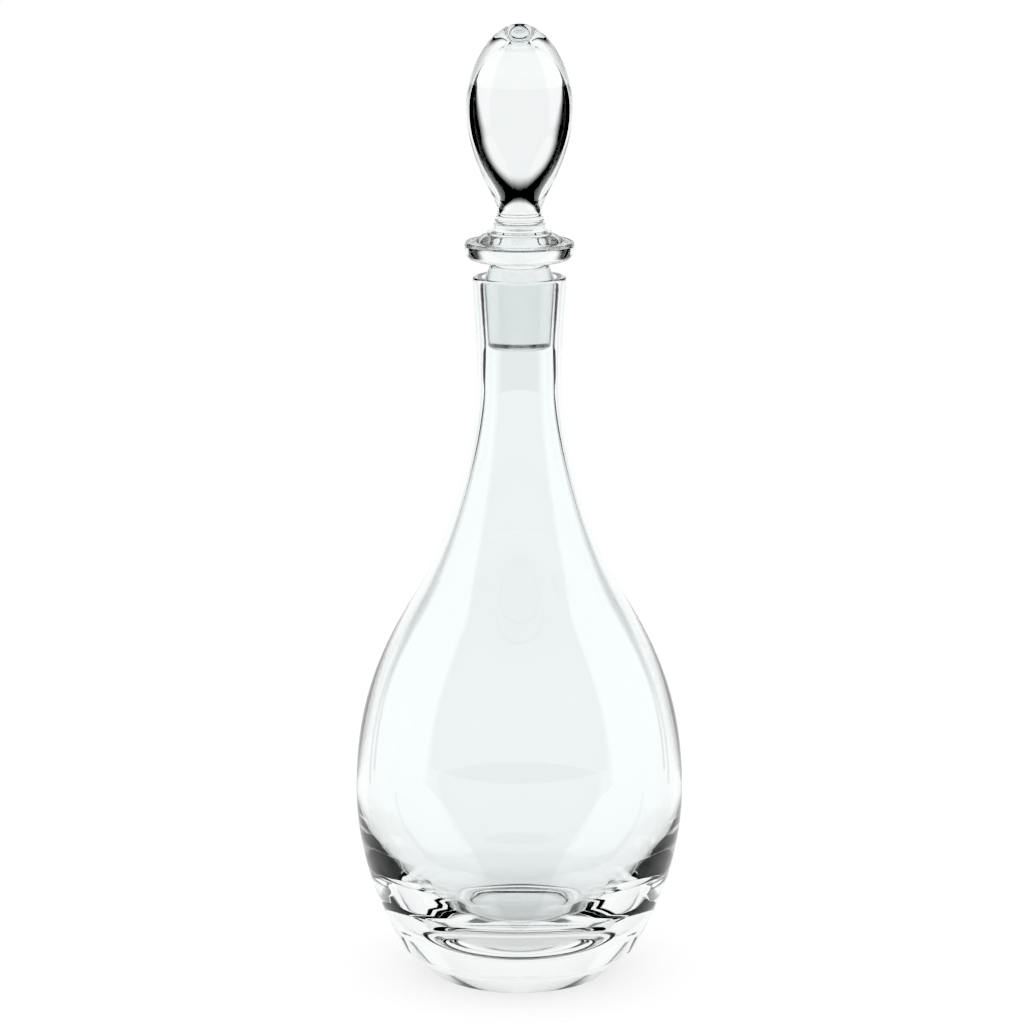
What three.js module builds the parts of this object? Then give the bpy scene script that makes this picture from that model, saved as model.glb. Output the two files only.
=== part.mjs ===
// Clear glass wine decanter: a pear-shaped bottle with a thick base, and a solid stopper that lifts out.
// Units are millimetres, +Z is up, and the origin is the middle of the circle that the foot stands on.
// Every piece is a surface of revolution about Z, so each one is a single profile turned on a lathe.
import * as THREE from 'three';

// Bottle, outside: radius and height of each place where the outline changes. Below and above are the
// lengths of the curve's handles, which set how slowly the outline turns on either side of the place.
const FOOT_RADIUS = 32; // outer edge of the flat ring that the bottle stands on
const HEEL = { radius: 43.5, height: 10.2 }; // ridge where the foot's ground cone meets the belly
const HEEL_HANDLE = { radius: 47.2, height: 16.7 };
const BELLY = { radius: 60.4, height: 69.2, below: 29.8, above: 30.7 };
const SHOULDER = { radius: 38.8, height: 142.3, lean: 0.552, below: 26.8, above: 27.7 }; // lean: radians
const NECK = { radius: 15.3, height: 220.4, below: 19, above: 18 };
const RIM = { radius: 17, height: 260.8, edge: 0.8 }; // edge: radius of the fire-polished lip
const FLARE = { inward: 0.6, below: 9 }; // the neck widens a little as it reaches the rim

// Bottle, underneath: a shallow polished dish inside the flat ring.
const DISH = { radius: 24, depth: 2.6 };

// Bottle, inside: a bowl over the thick base, then a wall that thins upwards.
const FLOOR = { height: 16, flat: 24 }; // flat: length of the handle that keeps the middle level
const BOWL = { radius: 44.1, height: 33, lean: 0.611, below: 8, above: 13 }; // halfway up the bowl
const BELLY_INSIDE_BELOW = 15.5;
const WALL_AT_BELLY = 3.6;
const WALL_AT_SHOULDER = 2;
const WALL_AT_NECK = 2.75;

// Ground joint: a tapered socket in the neck and a tapered plug that drops into it.
const SOCKET = { top: 13.2, bottom: 12.15, length: 24.5 };
const THROAT = { belowSocket: 6, aboveNeck: 5 }; // handles of the short curve under the socket
const PLUG = { bottom: 11.4, foot: 235.4, edge: 0.7, top: 12.8, height: 259.6 };

// Stopper: stem, collar with two low steps, bead and egg-shaped finial, one above the other.
const STEM = { radius: 10.9, height: 264.6 };
const HOLLOW = { height: 266, radius: 12.4 }; // the small cove where the stem meets the disc
const COLLAR = { under: 267, underRadius: 17.3, edge: 19.8, height: 271.6, crest: 273.7, crestRadius: 18.9 };
const COLLAR_BELLY = [{ radius: 18.6, height: 267 }, { radius: 19.5, height: 269 }]; // curve up to the edge
const COLLAR_TOP = [{ radius: 16.8, height: 272.6 }, { radius: 14.8, height: 275.8 }]; // dip, then a rise
const STEPS = [{ radius: 12.1, height: 276.4 }, { radius: 9.9, height: 277.8 }];
const STEP_INSET = { lower: 0.4, drop: 0.6, upper: 0.5 };
const BEAD = { foot: 280.3, radius: 8.9, top: 282.8, pinch: 0.7 }; // pinch: how much its ends draw in
const WAIST = { radius: 7.95, height: 284.8, out: 0.15, above: 5.6 };
const FINIAL = { radius: 19.15, widest: 322.5, top: 352, below: 20.3, above: 11, blunt: 11.5 };

const AROUND_BOTTLE = 48;
const AROUND_STOPPER = 32;

const CLEAR_GLASS = { color: 0xedf4f2, roughness: 0.02, metalness: 0 };
const GROUND_GLASS = { color: 0xdde5e3, roughness: 0.45, metalness: 0 };

const group = new THREE.Group();

// Turns a profile of (radius, height) points about the axis, and stands it up along +Z.
function turn(name, points, segments, finish) {
  const geometry = new THREE.LatheGeometry(points, segments);
  geometry.rotateX(Math.PI / 2);
  const mesh = new THREE.Mesh(geometry, new THREE.MeshStandardMaterial(finish));
  mesh.name = name;
  group.add(mesh);
}

// Joins several curves and single points into one list of profile points.
// Each entry is [curve, number of steps] or a point.
function profile(...stretches) {
  const points = [];
  for (const stretch of stretches) {
    const next = Array.isArray(stretch) ? stretch[0].getPoints(stretch[1]) : [stretch];
    for (const point of next) {
      const last = points.at(-1);
      if (!last || last.distanceTo(point) > 0.01) points.push(point);
    }
  }
  return points;
}

function at(radius, height) {
  return new THREE.Vector2(radius, height);
}

// The point that lies a given distance from a place, in a given direction.
function along(place, direction, distance) {
  return place.clone().addScaledVector(direction, distance);
}

function curve(start, leave, arrive, end) {
  return new THREE.CubicBezierCurve(start, leave, arrive, end);
}

// Quarter of an ellipse from one point to another; steep says whether it starts out vertical.
function quarter(start, end, steep) {
  const k = 0.5523;
  const corner = steep ? at(start.x, end.y) : at(end.x, start.y);
  return curve(start, start.clone().lerp(corner, k), end.clone().lerp(corner, k), end);
}

function bottle() {
  const vertical = at(0, 1);
  const up = at(-Math.sin(SHOULDER.lean), Math.cos(SHOULDER.lean));
  const out = at(up.y, -up.x);
  const shoulder = at(SHOULDER.radius, SHOULDER.height);
  const heel = at(HEEL.radius, HEEL.height);
  const belly = at(BELLY.radius, BELLY.height);
  const neck = at(NECK.radius, NECK.height);
  const lipFoot = at(RIM.radius, RIM.height - RIM.edge);
  const lipOuter = at(RIM.radius - RIM.edge, RIM.height);
  const lipInner = at(SOCKET.top + RIM.edge, RIM.height);
  const mouth = at(SOCKET.top, RIM.height - RIM.edge);
  const socketEnd = at(SOCKET.bottom, mouth.y - SOCKET.length);
  const neckInside = at(NECK.radius - WALL_AT_NECK, NECK.height);
  const shoulderInside = along(shoulder, out, -WALL_AT_SHOULDER);
  const bellyInside = at(BELLY.radius - WALL_AT_BELLY, BELLY.height);
  const bowl = at(BOWL.radius, BOWL.height);
  const bowlUp = at(Math.sin(BOWL.lean), Math.cos(BOWL.lean));

  const outside = profile(
    [quarter(at(0, DISH.depth), at(DISH.radius, 0), false), 4],
    at(FOOT_RADIUS, 0),
    heel,
    [curve(heel, at(HEEL_HANDLE.radius, HEEL_HANDLE.height),
      along(belly, vertical, -BELLY.below), belly), 10],
    [curve(belly, along(belly, vertical, BELLY.above), along(shoulder, up, -SHOULDER.below), shoulder), 9],
    [curve(shoulder, along(shoulder, up, SHOULDER.above), along(neck, vertical, -NECK.below), neck), 8],
    [curve(neck, along(neck, vertical, NECK.above),
      at(lipFoot.x - FLARE.inward, lipFoot.y - FLARE.below), lipFoot), 5],
    [quarter(lipFoot, lipOuter, true), 2],
  );
  const inside = profile(
    [quarter(lipInner, mouth, false), 2],
    socketEnd,
    [curve(socketEnd, along(socketEnd, vertical, -THROAT.belowSocket),
      along(neckInside, vertical, THROAT.aboveNeck), neckInside), 2],
    [curve(neckInside, along(neckInside, vertical, -NECK.below),
      along(shoulderInside, up, SHOULDER.above), shoulderInside), 8],
    [curve(shoulderInside, along(shoulderInside, up, -SHOULDER.below),
      along(bellyInside, vertical, BELLY.above), bellyInside), 8],
    [curve(bellyInside, along(bellyInside, vertical, -BELLY_INSIDE_BELOW),
      along(bowl, bowlUp, BOWL.above), bowl), 5],
    [curve(bowl, along(bowl, bowlUp, -BOWL.below), at(FLOOR.flat, FLOOR.height), at(0, FLOOR.height)), 7],
  );
  turn('bottle', [...outside, ...inside], AROUND_BOTTLE, CLEAR_GLASS);
}

function stopperPlug() {
  turn('stopper_plug', profile(
    at(0, PLUG.foot),
    at(PLUG.bottom - PLUG.edge, PLUG.foot),
    at(PLUG.bottom, PLUG.foot + PLUG.edge),
    at(PLUG.top, PLUG.height),
    at(STEM.radius, STEM.height),
    at(0, STEM.height),
  ), AROUND_STOPPER, GROUND_GLASS);
}

// A stem, a thin dished disc with a rounded edge, and two low steps up to the bead.
function stopperCollar() {
  const hollow = at(STEM.radius, HOLLOW.height);
  const underEdge = at(COLLAR.underRadius, COLLAR.under);
  const edge = at(COLLAR.edge, COLLAR.height);
  const crest = at(COLLAR.crestRadius, COLLAR.crest);
  const [lower, upper] = STEPS;
  const [leaveUnder, reachEdge] = COLLAR_BELLY.map((place) => at(place.radius, place.height));
  const [leaveCrest, reachStep] = COLLAR_TOP.map((place) => at(place.radius, place.height));
  turn('stopper_collar', profile(
    at(0, STEM.height),
    at(STEM.radius, STEM.height),
    hollow,
    [quarter(hollow, at(HOLLOW.radius, COLLAR.under), true), 2],
    underEdge,
    [curve(underEdge, leaveUnder, reachEdge, edge), 3],
    [quarter(edge, crest, true), 2],
    [curve(crest, leaveCrest, reachStep, at(lower.radius, lower.height)), 4],
    at(lower.radius - STEP_INSET.lower, upper.height - STEP_INSET.drop),
    at(upper.radius, upper.height),
    at(upper.radius - STEP_INSET.upper, BEAD.foot),
    at(0, BEAD.foot),
  ), AROUND_STOPPER, CLEAR_GLASS);
}

function stopperBead() {
  const middle = (BEAD.foot + BEAD.top) / 2;
  const pinch = BEAD.radius - BEAD.pinch;
  turn('stopper_bead', profile(
    at(0, BEAD.foot),
    at(pinch, BEAD.foot),
    at(BEAD.radius, middle),
    at(pinch, BEAD.top),
    at(0, BEAD.top),
  ), AROUND_STOPPER, CLEAR_GLASS);
}

// Egg on a narrow waist: blunt at the top, drawn in below.
function stopperFinial() {
  const widest = at(FINIAL.radius, FINIAL.widest);
  const waist = at(WAIST.radius, WAIST.height);
  const top = at(0, FINIAL.top);
  turn('stopper_finial', profile(
    at(0, BEAD.top),
    at(WAIST.radius + 0.1, BEAD.top),
    waist,
    [curve(waist, at(waist.x + WAIST.out, waist.y + WAIST.above),
      at(widest.x, widest.y - FINIAL.below), widest), 9],
    [curve(widest, at(widest.x, widest.y + FINIAL.above), at(FINIAL.blunt, top.y), top), 8],
  ), AROUND_STOPPER, CLEAR_GLASS);
}

bottle();
stopperPlug();
stopperCollar();
stopperBead();
stopperFinial();

export default group;
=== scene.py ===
"""A clear glass wine decanter with its stopper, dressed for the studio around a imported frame.

The file is a lesson in cells: each piece and each finish is explained, then made. Sizes are in metres.
"""

import bpy
import numpy as np
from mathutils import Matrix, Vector


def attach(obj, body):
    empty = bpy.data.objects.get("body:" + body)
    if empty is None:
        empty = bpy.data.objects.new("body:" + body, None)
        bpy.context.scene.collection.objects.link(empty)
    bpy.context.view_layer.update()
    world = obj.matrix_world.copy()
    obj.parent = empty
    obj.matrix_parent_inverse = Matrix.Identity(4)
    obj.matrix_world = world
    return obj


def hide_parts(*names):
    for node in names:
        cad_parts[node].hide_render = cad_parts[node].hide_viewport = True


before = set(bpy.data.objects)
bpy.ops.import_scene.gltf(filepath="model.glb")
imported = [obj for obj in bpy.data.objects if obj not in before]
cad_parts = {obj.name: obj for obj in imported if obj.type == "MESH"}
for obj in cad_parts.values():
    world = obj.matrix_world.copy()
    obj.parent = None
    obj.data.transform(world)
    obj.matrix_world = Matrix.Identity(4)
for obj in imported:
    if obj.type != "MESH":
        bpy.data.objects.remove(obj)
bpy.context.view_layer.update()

# %% [markdown]
# The camera comes first. It stands one and a half metres away and half a metre above the table, as a
# person sees a decanter across a table: the foot is seen from 18 degrees above and the mouth from 9.
# A long lens keeps the outline true, because a short one would swell the belly and shrink the foot.

# %% The camera
MM = 0.001
CAMERA_PLACE = Vector((0, -1.5, 0.49))
LOOK_AT = Vector((-2.7 * MM, 0, 173.7 * MM))
LENS = 147.3

camera = bpy.data.objects.new("camera", bpy.data.cameras.new("camera"))
camera.data.lens = LENS
camera.data.sensor_width = 36
camera.location = CAMERA_PLACE
camera.rotation_euler = (LOOK_AT - CAMERA_PLACE).to_track_quat("-Z", "Y").to_euler()
bpy.context.scene.collection.objects.link(camera)
bpy.context.scene.camera = camera
print("camera", tuple(round(v, 3) for v in CAMERA_PLACE))

# %% [markdown]
# Every piece of a decanter is round, so each is one profile carried round the axis. A profile is a
# chain of Bezier curves, the same kind of curve that a glassmaker's template is drawn with. Numpy works
# out all points of a curve at once.

# %% Curves for profiles


def point(radius, height):
    """A profile point, given in millimetres."""
    return np.array([radius, height], float) * MM


def bezier(start, leave, arrive, end, steps=160):
    """Points of a cubic Bezier: the four control points weighed by (1-t)^3, 3(1-t)^2 t, 3(1-t) t^2, t^3."""
    t = np.linspace(0, 1, steps)[:, None]
    return (
        (1 - t) ** 3 * start
        + 3 * (1 - t) ** 2 * t * leave
        + 3 * (1 - t) * t**2 * arrive
        + t**3 * end
    )


def line(start, end, steps=60):
    """Evenly spaced points from start to end."""
    return start + (end - start) * np.linspace(0, 1, steps)[:, None]


def quarter(start, end, steep, steps=60):
    """Quarter of an ellipse: start and end each swept by a cosine and a sine about the far corner."""
    a = np.linspace(0, np.pi / 2, steps)[:, None]
    across, along = (start - end) * np.cos(a), (end - start) * np.sin(a)
    keep = np.array([1, 0]) if steep else np.array([0, 1])
    return np.where(keep, end + across, start + along)


def chain(*stretches):
    """Joins stretches end to end, leaving out each point that repeats the one before."""
    points = np.vstack([np.atleast_2d(s) for s in stretches])
    step = np.hypot(*np.diff(points, axis=0).T)
    return points[np.r_[True, step > 1e-7]]


# %% [markdown]
# Glass has no sharp edges: the last thing done to it is a pass through the flame, which melts every
# corner round. The same is done to a profile by averaging each point with its neighbours along the
# line. After that the points are spread out again so that most of them sit where the line bends.

# %% Fire polish and spacing
POLISH = 0.35 * MM
FINE = 0.05 * MM


def walk(points, count):
    """Evenly spaced points along a line: its length so far is read off at equal distances."""
    so_far = np.r_[0, np.cumsum(np.hypot(*np.diff(points, axis=0).T))]
    want = np.linspace(0, so_far[-1], count)
    return np.column_stack([np.interp(want, so_far, points[:, k]) for k in (0, 1)])


def fire_polish(points, softness=POLISH):
    """Rounds corners: a weighted mean along the line, with bell-curve weights of width softness.
    The line is mirrored at the axis first, so that it still meets the axis square."""
    length = np.hypot(*np.diff(points, axis=0).T).sum()
    even = walk(points, int(length / FINE))
    reach = int(4 * softness / FINE)
    mirror = np.array([-1, 1])
    padded = np.vstack([even[reach:0:-1] * mirror, even, even[-2 : -reach - 2 : -1] * mirror])
    weights = np.exp(-0.5 * (np.arange(-reach, reach + 1) * FINE / softness) ** 2)
    weights /= weights.sum()
    smooth = np.column_stack([np.convolve(padded[:, k], weights, "valid") for k in (0, 1)])
    smooth[[0, -1], 0] = 0
    return smooth


def spread(points, count, bend_share=0.6):
    """Keeps count points. Each step costs its share of the length plus its share of the turning."""
    step = np.diff(points, axis=0)
    length = np.hypot(*step.T)
    angle = np.unwrap(np.arctan2(step[:, 1], step[:, 0]))
    turn = np.abs(np.r_[0, np.diff(angle)])
    cost = (1 - bend_share) * length / length.sum() + bend_share * turn / turn.sum()
    so_far = np.r_[0, np.cumsum(cost)]
    want = np.linspace(0, so_far[-1], count)
    return np.column_stack([np.interp(want, so_far, points[:, k]) for k in (0, 1)])


# %% [markdown]
# The lathe carries a profile round the axis. The profile starts and ends on the axis, so the two poles
# are closed by fans of triangles, and everything between is quads. A profile that runs up the outside
# has its faces pointing out.

# %% The lathe


def lathe(name, profile, around, swell=None):
    """x = r cos a, y = r sin a, z = height, for every profile point and every angle a.
    swell(r, z, a) may add a little to each radius, for a surface that isn't perfectly round."""
    a = np.arange(around) * 2 * np.pi / around
    r, z = profile[1:-1, :1] + 0 * a, profile[1:-1, 1:] + 0 * a
    if swell is not None:
        r = r + swell(r, z, a + 0 * r)
    rings = np.stack([r * np.cos(a), r * np.sin(a), z], axis=-1).reshape(-1, 3)
    poles = np.array([[0, 0, profile[0, 1]], [0, 0, profile[-1, 1]]])
    first, last = len(rings), len(rings) + 1
    j, k = np.arange(around), (np.arange(around) + 1) % around
    row = np.arange(len(profile) - 3)[:, None] * around
    quads = np.stack([row + j, row + k, row + around + k, row + around + j], axis=-1).reshape(-1, 4)
    top = (len(profile) - 3) * around
    bottom_fan = np.stack([np.full(around, first), k, j], axis=-1)
    top_fan = np.stack([np.full(around, last), top + j, top + k], axis=-1)
    mesh = bpy.data.meshes.new(name)
    faces = [*quads.tolist(), *bottom_fan.tolist(), *top_fan.tolist()]
    mesh.from_pydata(np.vstack([rings, poles]).tolist(), [], faces)
    mesh.shade_smooth()
    piece = bpy.data.objects.new(name, mesh)
    bpy.context.scene.collection.objects.link(piece)
    print(name, len(mesh.vertices), "points", len(mesh.polygons), "faces")
    return piece


# %% [markdown]
# The bottle is blown into a mould, so its outside is smooth and true, while its inside is free: thick
# at the base, where the glass sank, and thinner up the shoulder. It could be one outline made thick by
# a modifier, but the uneven wall is what bends the light, so both surfaces are drawn. The foot is a
# ground cone with a polished dish under it.

# %% The outside of the bottle
LEAN = 0.552
UP = np.array([-np.sin(LEAN), np.cos(LEAN)])
OUT = np.array([UP[1], -UP[0]])
BELOW_BELLY, ABOVE_BELLY = point(0, 29.8), point(0, 30.7)
BELOW_SHOULDER, ABOVE_SHOULDER = 26.8 * MM * UP, 27.7 * MM * UP
BELOW_NECK, ABOVE_NECK = point(0, 19), point(0, 18)

dish_top, dish_edge = point(0, 2.6), point(24, 0)
foot_edge = point(32, 0)
heel, heel_handle = point(43.5, 10.2), point(47.2, 16.7)
belly = point(60.4, 69.2)
shoulder = point(38.8, 142.3)
neck = point(15.3, 220.4)
lip_foot, lip_outer = point(17, 260), point(16.2, 260.8)
FLARE = point(0.6, 9)

outer_wall = chain(
    bezier(heel, heel_handle, belly - BELOW_BELLY, belly),
    bezier(belly, belly + ABOVE_BELLY, shoulder - BELOW_SHOULDER, shoulder),
    bezier(shoulder, shoulder + ABOVE_SHOULDER, neck - BELOW_NECK, neck),
    bezier(neck, neck + ABOVE_NECK, lip_foot - FLARE, lip_foot),
)
outside = chain(
    quarter(dish_top, dish_edge, False),
    line(dish_edge, foot_edge),
    line(foot_edge, heel),
    outer_wall,
    quarter(lip_foot, lip_outer, True),
)
print("outside", len(outside), "points, belly", round(2 * belly[0] / MM, 1), "mm across")

# %% [markdown]
# The inside comes down from the lip: the ground socket that holds the plug, the throat, the thin
# shoulder and belly, and a bowl that rounds off over sixteen millimetres of solid glass.

# %% The inside of the bottle
lip_inner, mouth = point(14, 260.8), point(13.2, 260)
socket_end = point(12.15, 235.5)
neck_inside = neck - point(2.75, 0)
shoulder_inside = shoulder - 2 * MM * OUT
belly_inside = belly - point(3.6, 0)
bowl, BOWL_SLOPE = point(44.1, 33), point(0.574, 0.819)
floor, FLOOR_FLAT = point(0, 16), point(24, 0)

inside = chain(
    quarter(lip_inner, mouth, False),
    line(mouth, socket_end),
    bezier(socket_end, socket_end - point(0, 6), neck_inside + point(0, 5), neck_inside),
    bezier(neck_inside, neck_inside - BELOW_NECK, shoulder_inside + ABOVE_SHOULDER, shoulder_inside),
    bezier(shoulder_inside, shoulder_inside - BELOW_SHOULDER, belly_inside + ABOVE_BELLY, belly_inside),
    bezier(belly_inside, belly_inside - point(0, 15.5), bowl + 13 * BOWL_SLOPE, bowl),
    bezier(bowl, bowl - 8 * BOWL_SLOPE, floor + FLOOR_FLAT, floor),
)
print("floor of the inside at", round(inside[-1, 1] / MM, 1), "mm")

# %% [markdown]
# Blown glass keeps faint waves on its free surface, low down where it cooled last. They are far too
# small to see as shape, but they make the lines in the base tremble. A bump could do it only for
# reflections; real waves in the mesh bend the light that goes through as well.

# %% The ripples inside
RIPPLE = 0.03 * MM
RIPPLE_PITCH = 5.6 * MM
RIPPLE_FOOT = 17 * MM
RIPPLE_TOP = 66 * MM
FADE_IN = 6 * MM
FADE_OUT = 35 * MM
THIN_WALL = 1.5 * MM
DRIFT, DRIFT_START = 0.9, 0.6
WOBBLE, WOBBLES = 0.35, 3


def ripples(r, z, a):
    """Waves on the inner wall: a sine of the height, drifting a little with the angle, that fades out
    upwards. A point is on the inner wall if it lies more than a thin wall inside the outer outline."""
    depth = np.interp(z, outer_wall[:, 1], outer_wall[:, 0]) - r
    inner = np.clip((depth - THIN_WALL) / MM, 0, 1) * np.clip((z - RIPPLE_FOOT) / FADE_IN, 0, 1)
    fade = np.clip((RIPPLE_TOP - z) / FADE_OUT, 0, 1)
    drift = DRIFT * np.sin(a + DRIFT_START) + WOBBLE * np.sin(WOBBLES * a)
    wave = np.sin(2 * np.pi * z / RIPPLE_PITCH + drift)
    return RIPPLE * inner * fade * wave


BOTTLE_ROWS = 420
BOTTLE_AROUND = 220
bottle_profile = spread(fire_polish(chain(outside, inside)), BOTTLE_ROWS, bend_share=0.4)
bottle = lathe("bottle_body", bottle_profile, BOTTLE_AROUND, ripples)

# %% [markdown]
# The stopper is solid: the maker fuses gather on gather, the plug, the dished collar with two low
# steps, a bead and the egg. Cold, it is one piece without seams, so it is one profile here, from the
# flat end of the plug to the top of the egg. It gets a lighter polish than the bottle, because its
# creases are crisp.

# %% The stopper
CREASE_POLISH = 0.16 * MM
STOPPER_ROWS = 320
STOPPER_AROUND = 192
plug_foot, plug_top = point(11.4, 236.1), point(12.8, 259.6)
stem_foot, stem_top = point(10.9, 264.6), point(10.9, 266)
under_start, under_end = point(12.4, 266.9), point(17.3, 267.1)
edge, crest = point(19.8, 271.6), point(18.9, 273.7)
step_one, step_two = point(12.1, 276.4), point(9.9, 277.8)
bead_foot, bead_top = point(8.2, 280.3), point(8.1, 282.8)
waist = point(7.95, 284.8)
egg, egg_top = point(19.15, 322.5), point(0, 352)

plug_line = chain(
    line(point(0, 235.4), point(10.7, 235.4)),
    line(point(10.7, 235.4), plug_foot),
    line(plug_foot, plug_top),
    line(plug_top, stem_foot),
    line(stem_foot, stem_top),
)
collar_line = chain(
    quarter(stem_top, under_start, True),
    line(under_start, under_end),
    bezier(under_end, point(18.6, 267.2), point(19.5, 269), edge),
    bezier(edge, point(19.9, 272.8), point(19.6, 273.7), crest),
    bezier(crest, point(16.8, 272.6), point(14.8, 275.8), step_one),
    line(step_one, point(11.7, 277.2)),
    line(point(11.7, 277.2), step_two),
    line(step_two, point(9.4, 280.1)),
    line(point(9.4, 280.1), bead_foot),
)
egg_line = chain(
    bezier(bead_foot, point(9.3, 280.6), point(9.3, 282.4), bead_top),
    bezier(bead_top, point(7.95, 283.4), point(7.9, 284), waist),
    bezier(waist, waist + point(0.15, 5.6), egg - point(0, 20.3), egg),
    bezier(egg, egg + point(0, 11), egg_top + point(11.5, 0), egg_top),
)
stopper_line = fire_polish(chain(plug_line, collar_line, egg_line), CREASE_POLISH)
stopper = lathe("stopper_body", spread(stopper_line, STOPPER_ROWS), STOPPER_AROUND)

# %% [markdown]
# Three places aren't polished: the plug, the socket it was ground into with wet sand, and the ring that
# the foot stands and wears on. Each is a band of heights within some radius. The same effect serves all
# three, so it is one node group with its own values in each place, and it only gives out numbers: a
# roughness and a height. The rest of the glass keeps faint, broad smears from wiping.

# %% The ground band
SMEAR_SCALE = 34
SMEAR_LEVEL = 0.56


def ground_band_group():
    """Band = 1 from one height to another and within a radius, 0 elsewhere. Roughness is the band
    times its ground value, made uneven by a fine noise, plus what a broad noise adds above a level.
    Height is the fine noise inside the band, for the grains of the grinding."""
    tree = bpy.data.node_groups.new("ground band", "ShaderNodeTree")
    for name in ("From", "To", "Within", "Soft", "Ground", "Grain", "Wiped"):
        tree.interface.new_socket(name=name, in_out="INPUT", socket_type="NodeSocketFloat")
    for name in ("Roughness", "Height"):
        tree.interface.new_socket(name=name, in_out="OUTPUT", socket_type="NodeSocketFloat")
    given = tree.nodes.new("NodeGroupInput").outputs
    result = tree.nodes.new("NodeGroupOutput").inputs
    place = tree.nodes.new("ShaderNodeTexCoord").outputs["Object"]
    split = tree.nodes.new("ShaderNodeSeparateXYZ")
    tree.links.new(place, split.inputs[0])

    def join(operation, first, second):
        """One Math node: the operation on two sockets or numbers."""
        node = tree.nodes.new("ShaderNodeMath")
        node.operation = operation
        for socket, value in zip(node.inputs, (first, second)):
            if isinstance(value, (int, float)):
                socket.default_value = value
            else:
                tree.links.new(value, socket)
        return node.outputs[0]

    def past(value, edge):
        """0 below the edge, 1 above it, smooth over twice Soft."""
        node = tree.nodes.new("ShaderNodeMapRange")
        node.interpolation_type = "SMOOTHSTEP"
        tree.links.new(value, node.inputs["Value"])
        tree.links.new(join("SUBTRACT", edge, given["Soft"]), node.inputs["From Min"])
        tree.links.new(join("ADD", edge, given["Soft"]), node.inputs["From Max"])
        return node.outputs[0]

    def noise():
        """Noise over the object's own coordinates."""
        node = tree.nodes.new("ShaderNodeTexNoise")
        tree.links.new(place, node.inputs["Vector"])
        return node

    x, y, z = split.outputs
    radius = join("SQRT", join("ADD", join("MULTIPLY", x, x), join("MULTIPLY", y, y)), 0)
    heights = join("MULTIPLY", past(z, given["From"]), join("SUBTRACT", 1, past(z, given["To"])))
    band = join("MULTIPLY", heights, join("SUBTRACT", 1, past(radius, given["Within"])))
    grain = noise()
    tree.links.new(given["Grain"], grain.inputs["Scale"])
    uneven = join("ADD", join("MULTIPLY", grain.outputs["Fac"], 0.5), 0.75)
    ground = join("MULTIPLY", join("MULTIPLY", band, given["Ground"]), uneven)
    smear = noise()
    smear.inputs["Scale"].default_value = SMEAR_SCALE
    smear.inputs["Detail"].default_value = 4
    above = join("MAXIMUM", join("SUBTRACT", smear.outputs["Fac"], SMEAR_LEVEL), 0)
    tree.links.new(join("ADD", ground, join("MULTIPLY", above, given["Wiped"])), result["Roughness"])
    tree.links.new(join("MULTIPLY", band, grain.outputs["Fac"]), result["Height"])
    return tree


GROUND_BAND = ground_band_group()
print("ground band", len(GROUND_BAND.nodes), "nodes")

# %% [markdown]
# Clear glass is light going through and bending, so the shader transmits everything, with the index of
# crystal and a base colour that is a breath of green. The colour acts each time light crosses a
# surface, so it has to be very weak. What makes glass look like glass is what stands around it.

# %% Finishes
TINT = (0.975, 1, 0.997)
INDEX = 1.52
SOFT = 0.2 * MM
GRAIN_DEPTH = 0.02 * MM
GRAIN_STRENGTH = 0.35


def glass(name, *bands):
    """Transmitting Principled shader. The roughness and the grain of all its bands are added up."""
    material = bpy.data.materials.new(name)
    material.use_nodes = True
    nodes, links = material.node_tree.nodes, material.node_tree.links
    shader = nodes["Principled BSDF"]
    shader.inputs["Base Color"].default_value = (*TINT, 1)
    shader.inputs["IOR"].default_value = INDEX
    shader.inputs["Transmission Weight"].default_value = 1
    totals = {}
    for band in bands:
        matte = nodes.new("ShaderNodeGroup")
        matte.node_tree = GROUND_BAND
        for socket, value in band.items():
            matte.inputs[socket].default_value = value
        for result in ("Roughness", "Height"):
            if result in totals:
                both = nodes.new("ShaderNodeMath")
                links.new(totals[result], both.inputs[0])
                links.new(matte.outputs[result], both.inputs[1])
                totals[result] = both.outputs[0]
            else:
                totals[result] = matte.outputs[result]
    bump = nodes.new("ShaderNodeBump")
    bump.inputs["Strength"].default_value = GRAIN_STRENGTH
    bump.inputs["Distance"].default_value = GRAIN_DEPTH
    links.new(totals["Roughness"], shader.inputs["Roughness"])
    links.new(totals["Height"], bump.inputs["Height"])
    links.new(bump.outputs["Normal"], shader.inputs["Normal"])
    print(name, len(bands), "ground bands")
    return material


WORN_FOOT = {"From": -MM, "To": 0.4 * MM, "Within": 33 * MM, "Soft": SOFT, "Ground": 0.18,
             "Grain": 1500, "Wiped": 0.05}
SOCKET = {"From": 235.5 * MM, "To": 260 * MM, "Within": 13.5 * MM, "Soft": SOFT, "Ground": 0.08,
          "Grain": 2200, "Wiped": 0}
PLUG = {"From": 236.1 * MM, "To": 259.6 * MM, "Within": 14 * MM, "Soft": SOFT, "Ground": 0.12,
        "Grain": 2200, "Wiped": 0.03}
bottle.data.materials.append(glass("bottle glass", WORN_FOOT, SOCKET))
stopper.data.materials.append(glass("stopper glass", PLUG))

# %% [markdown]
# Each piece stands for the plain solids that have its place in the frame, and rides on their body, so
# the stopper lifts out of the neck when its joint moves.

# %% Ride on the frame
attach(bottle, "bottle")
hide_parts("bottle")
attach(stopper, "stopper")
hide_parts("stopper_plug", "stopper_collar", "stopper_bead", "stopper_finial")
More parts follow.
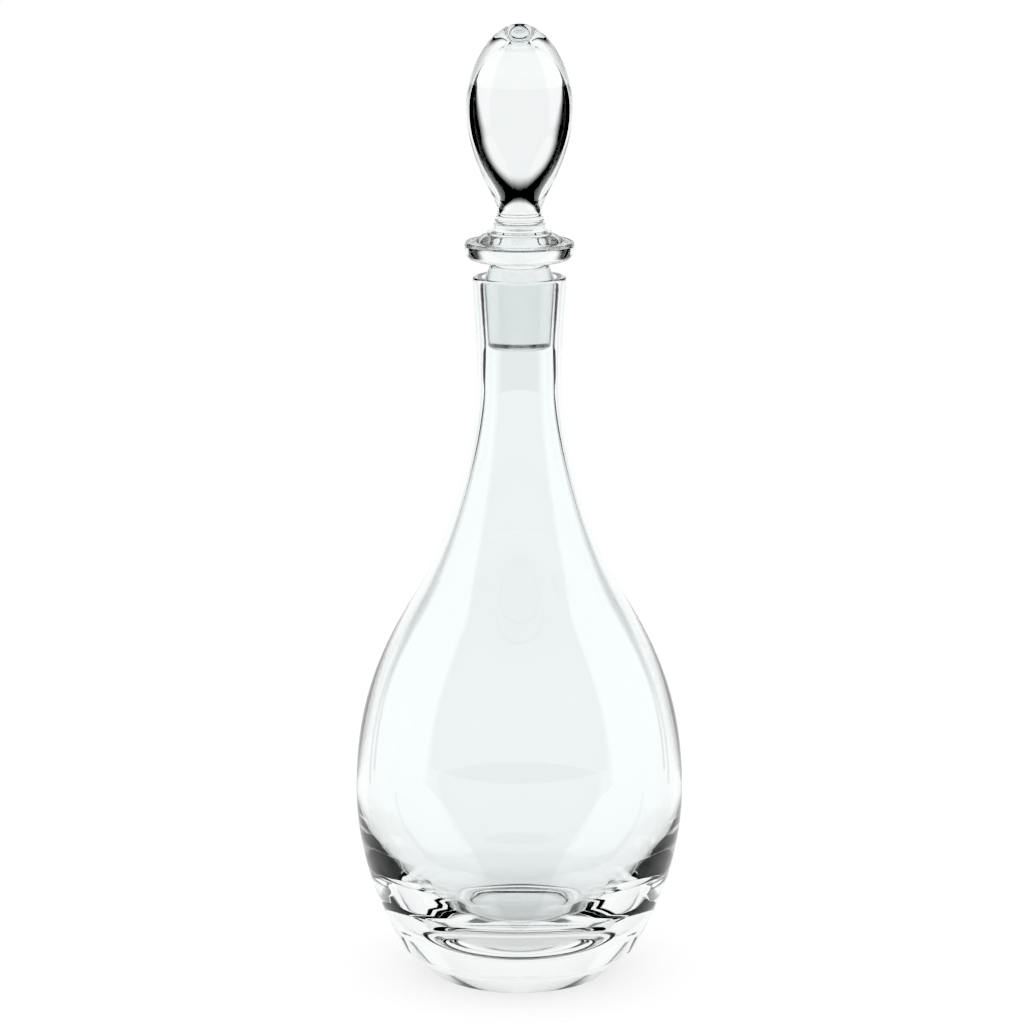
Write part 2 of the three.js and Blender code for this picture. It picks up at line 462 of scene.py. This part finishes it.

# %% [markdown]
# Glass has no colour of its own, so it shows the studio. The decanter stands on a pale table that glows
# a little, so that no grey shadow falls under the clear glass. Where the foot touches it, a thin dark ring
# of painted contact shadow is cut out of the table's glow.

# %% The table
TABLE_RADIUS = 0.8
TABLE_GLOW = 0.74
TABLE_GLOW_IN_GLASS = 0.66
TABLE_COLOUR = (0.3, 0.3, 0.3)
TABLE_SIDES = 128
# A painted contact shadow: radii in metres and how much of the table's glow is left there, none in a thin
# ring at the foot's edge.
CONTACT_SHADOW = [(0.0318, 1), (0.0321, 0), (0.0328, 0), (0.0338, 1)]


def stand(name, corners, faces, colour):
    """A plain matte thing of the studio, which isn't part of the decanter."""
    mesh = bpy.data.meshes.new(name)
    mesh.from_pydata(corners, [], faces)
    thing = bpy.data.objects.new(name, mesh)
    bpy.context.scene.collection.objects.link(thing)
    paint = bpy.data.materials.new(name)
    paint.use_nodes = True
    shader = paint.node_tree.nodes["Principled BSDF"]
    shader.inputs["Base Color"].default_value = (*colour, 1)
    shader.inputs["Roughness"].default_value = 1
    shader.inputs["Specular IOR Level"].default_value = 0
    shader.inputs["Emission Color"].default_value = (1, 1, 1, 1)
    mesh.materials.append(paint)
    return thing


turn = np.linspace(0, 2 * np.pi, TABLE_SIDES + 1)[:-1]
circle = TABLE_RADIUS * np.column_stack([np.cos(turn), np.sin(turn), 0 * turn])
table = stand("table", circle.tolist(), [list(range(TABLE_SIDES))], TABLE_COLOUR)
tree = table.data.materials[0].node_tree
place = tree.nodes.new("ShaderNodeTexCoord")
reach = tree.nodes.new("ShaderNodeVectorMath")
reach.operation = "LENGTH"
# This ramp paints the contact shadow into the table's emission colour.
contact_shadow_ring = tree.nodes.new("ShaderNodeValToRGB")
contact_shadow_ring.color_ramp.elements.remove(contact_shadow_ring.color_ramp.elements[0])
for k, (radius, shade) in enumerate(CONTACT_SHADOW):
    stop = contact_shadow_ring.color_ramp.elements[0] if k == 0 else contact_shadow_ring.color_ramp.elements.new(radius)
    stop.position = radius
    stop.color = (shade, shade, shade, 1)
tree.links.new(place.outputs["Object"], reach.inputs[0])
tree.links.new(reach.outputs["Value"], contact_shadow_ring.inputs["Fac"])
tree.links.new(contact_shadow_ring.outputs["Color"], tree.nodes["Principled BSDF"].inputs["Emission Color"])
direct = tree.nodes.new("ShaderNodeLightPath")
glow = tree.nodes.new("ShaderNodeMapRange")
glow.inputs["To Min"].default_value = TABLE_GLOW_IN_GLASS
glow.inputs["To Max"].default_value = TABLE_GLOW
tree.links.new(direct.outputs["Is Camera Ray"], glow.inputs["Value"])
tree.links.new(glow.outputs["Result"], tree.nodes["Principled BSDF"].inputs["Emission Strength"])
print("table", TABLE_RADIUS, "m in radius")

# %% [markdown]
# Clear glass is lit with black cards beside it, and each edge of the glass picks one up as a dark line.
# They could be left out, but then the outline would melt into the white. The cards here are seen only
# by light that the glass bends or reflects.

# %% The cards
CARD_RADIUS = 0.36
CARD_COLUMNS = 13
CARD_END = 60
PAPER = 0.99


def hang(name, corners, light):
    """A sheet through a grid of corners (rows, columns, 3), giving at each corner its own light."""
    rows, columns = light.shape
    k = np.arange(columns - 1) + columns * np.arange(rows - 1)[:, None]
    faces = np.stack([k, k + 1, k + columns + 1, k + columns], axis=-1).reshape(-1, 4)
    thing = stand(name, corners.reshape(-1, 3).tolist(), faces.tolist(), (0, 0, 0))
    amount = thing.data.attributes.new("light", "FLOAT", "POINT")
    amount.data.foreach_set("value", light.ravel())
    tree = thing.data.materials[0].node_tree
    read = tree.nodes.new("ShaderNodeAttribute")
    read.attribute_name = "light"
    tree.links.new(read.outputs["Fac"], tree.nodes["Principled BSDF"].inputs["Emission Strength"])
    thing.visible_camera = False
    thing.visible_diffuse = False
    thing.visible_shadow = False
    return thing


def round_about(radius, bearing, height):
    """x = radius sin bearing, y = radius cos bearing: bearings, in degrees, are counted off the back."""
    a = np.radians(bearing)
    return np.stack([radius * np.sin(a), radius * np.cos(a), height + 0 * a], axis=-1)


def card(name, rows):
    """A curved black card. Each row is a height and the bearings of its ends; between rows it is
    straight."""
    height, start, end = np.array(rows, float).T[:, :, None]
    bearing = start + (end - start) * np.linspace(0, 1, CARD_COLUMNS)
    return hang(name, round_about(CARD_RADIUS, bearing, height), 0 * bearing)


for side, hand in ((1, "right"), (-1, "left")):
    card("side_card_" + hand, [
        (0.0, 57 * side, CARD_END * side),
        (0.08, 56 * side, CARD_END * side),
        (0.16, 52 * side, CARD_END * side),
        (0.2, 45 * side, CARD_END * side),
    ])

# %% [markdown]
# Above them hangs one tall sheet, white in the middle and black at its sides and its top, like paper
# seen through a window. Through the solid egg it turns upside down, and gives it the dark U.

# %% The paper window
WINDOW_HALF = 39
WINDOW_HALF_LOW = 46
WINDOW_MIDDLE = 0.33
WINDOW_TOP = 0.465
WINDOW_FOOT = 0.2
WINDOW_SOFT = 0.68
WINDOW_SOFT_LOW = 0.97
FINE_TOP = 0.5
SHEET_TOP = 1.1
ROUNDNESS = 3


def window_light(bearing, height):
    """q = the distance from the middle in a superellipse that is 1 on its rim. The light is the paper's
    inside, 0 on the rim, and a smooth step between; below the middle only the bearing counts."""
    low = np.clip((WINDOW_MIDDLE - height) / (WINDOW_MIDDLE - WINDOW_FOOT), 0, 1)
    across = np.abs(bearing) / (WINDOW_HALF + (WINDOW_HALF_LOW - WINDOW_HALF) * low)
    up = np.clip((height - WINDOW_MIDDLE) / (WINDOW_TOP - WINDOW_MIDDLE), 0, None)
    q = (across**ROUNDNESS + up**ROUNDNESS) ** (1 / ROUNDNESS)
    soft = WINDOW_SOFT + (WINDOW_SOFT_LOW - WINDOW_SOFT) * low
    t = np.clip((1 - q) / (1 - soft), 0, 1)
    return PAPER * t * t * (3 - 2 * t)


levels = np.r_[np.linspace(WINDOW_FOOT, FINE_TOP, 61), SHEET_TOP]
bearings, heights = np.meshgrid(np.linspace(-CARD_END, CARD_END, 81), levels)
hang("paper_window", round_about(CARD_RADIUS, bearings, heights), window_light(bearings, heights))
print("window up to", WINDOW_TOP, "m")

# %% [markdown]
# On the table in front lies a black sheet that only the outer surface reflects. It darkens the middle
# of the belly by a few parts in a hundred, in a panel that narrows towards the base.

# %% The front sheet
PANEL_HALF = 68
PANEL_NEAR = 0.07
PANEL_SPREAD = 0.7
off_front, outwards = np.meshgrid(np.linspace(-PANEL_HALF, PANEL_HALF, 41), np.linspace(0, 1, 9))
near = PANEL_NEAR + PANEL_SPREAD * (off_front / PANEL_HALF) ** 2
sheet_radius = near + (TABLE_RADIUS - near) * outwards
front = hang("front_sheet", round_about(sheet_radius, 180 + off_front, 2 * MM), 0 * off_front)
front.visible_transmission = False
print("cards at", CARD_RADIUS, "m")

# %% [markdown]
# Around all this is a white tent with a dark room in front of it. In Blender that is a world whose
# strength depends on the direction: white paper behind and beside, dark in front and under the table's
# edge. The floor is lit evenly whatever the pattern, and the background stays white.

# %% The studio light
DIM = 0.02
BELOW = 0.015
FLOOR_LIGHT = 1.14
TENT_TOP = (0.8, 0.88)
HORIZON = (-0.02, 0.02)
REAR = (0.2, 0.35)
FRONT = (-0.41, -0.34)
PAPER_EDGE = (0.78, 0.83)
BESIDE = (-0.34, -0.2)
world = bpy.data.worlds.new("studio")
bpy.context.scene.world = world
world.use_nodes = True
nodes, links = world.node_tree.nodes, world.node_tree.links
nodes.clear()
output = nodes.new("ShaderNodeOutputWorld")
background = nodes.new("ShaderNodeBackground")
links.new(background.outputs[0], output.inputs[0])
where = nodes.new("ShaderNodeTexCoord")
split = nodes.new("ShaderNodeSeparateXYZ")
links.new(where.outputs["Generated"], split.inputs[0])


def maths(operation, first, second=0):
    """One Math node: the operation on two sockets or numbers."""
    node = nodes.new("ShaderNodeMath")
    node.operation = operation
    for socket, value in zip(node.inputs, (first, second)):
        if isinstance(value, (int, float)):
            socket.default_value = value
        else:
            links.new(value, socket)
    return node.outputs[0]


def between(value, low, high):
    """0 at low, 1 at high, smooth in between."""
    node = nodes.new("ShaderNodeMapRange")
    node.interpolation_type = "SMOOTHSTEP"
    node.inputs["From Min"].default_value = low
    node.inputs["From Max"].default_value = high
    links.new(value, node.inputs["Value"])
    return node.outputs[0]


def blend(factor, low, high):
    """low times one less the factor, plus high times the factor."""
    return maths("ADD", maths("MULTIPLY", factor, high), maths("MULTIPLY", maths("SUBTRACT", 1, factor), low))


x, y, z = split.outputs
level = maths("SQRT", maths("ADD", maths("MULTIPLY", x, x), maths("MULTIPLY", y, y)))
facing = maths("DIVIDE", y, maths("MAXIMUM", level, MM))
rear = between(facing, *REAR)
not_front = between(facing, *FRONT)
paper = blend(between(facing, *PAPER_EDGE), 1.0, PAPER)
upper = maths("MULTIPLY", blend(not_front, DIM, paper), maths("SUBTRACT", 1, between(z, *TENT_TOP)))
beside = maths("MULTIPLY", not_front, between(z, *BESIDE))
lower = blend(maths("MAXIMUM", rear, beside), BELOW, paper)
pattern = blend(between(z, *HORIZON), lower, upper)
seen = nodes.new("ShaderNodeLightPath")
for_floor = blend(seen.outputs["Is Diffuse Ray"], pattern, FLOOR_LIGHT)
strength = blend(seen.outputs["Is Camera Ray"], for_floor, 1.0)
links.new(strength, background.inputs["Strength"])
background.inputs["Color"].default_value = (1, 1, 1, 1)
print("world", len(nodes), "nodes")

# %% [markdown]
# A look straight through glass crosses four surfaces, and a reflection inside the base many more, so
# the light is followed for many bounces. The curve's black level deepens the darks a little.

# %% How the light is followed and shown
BOUNCES = 32
BLACK = 0.08
scene = bpy.context.scene
scene.view_settings.view_transform = "Standard"
scene.view_settings.use_curve_mapping = True
scene.view_settings.curve_mapping.black_level = (BLACK, BLACK, BLACK)
scene.view_settings.curve_mapping.update()
scene.cycles.max_bounces = BOUNCES
scene.cycles.transmission_bounces = BOUNCES
scene.cycles.glossy_bounces = BOUNCES // 2
scene.cycles.caustics_refractive = True
scene.cycles.caustics_reflective = True
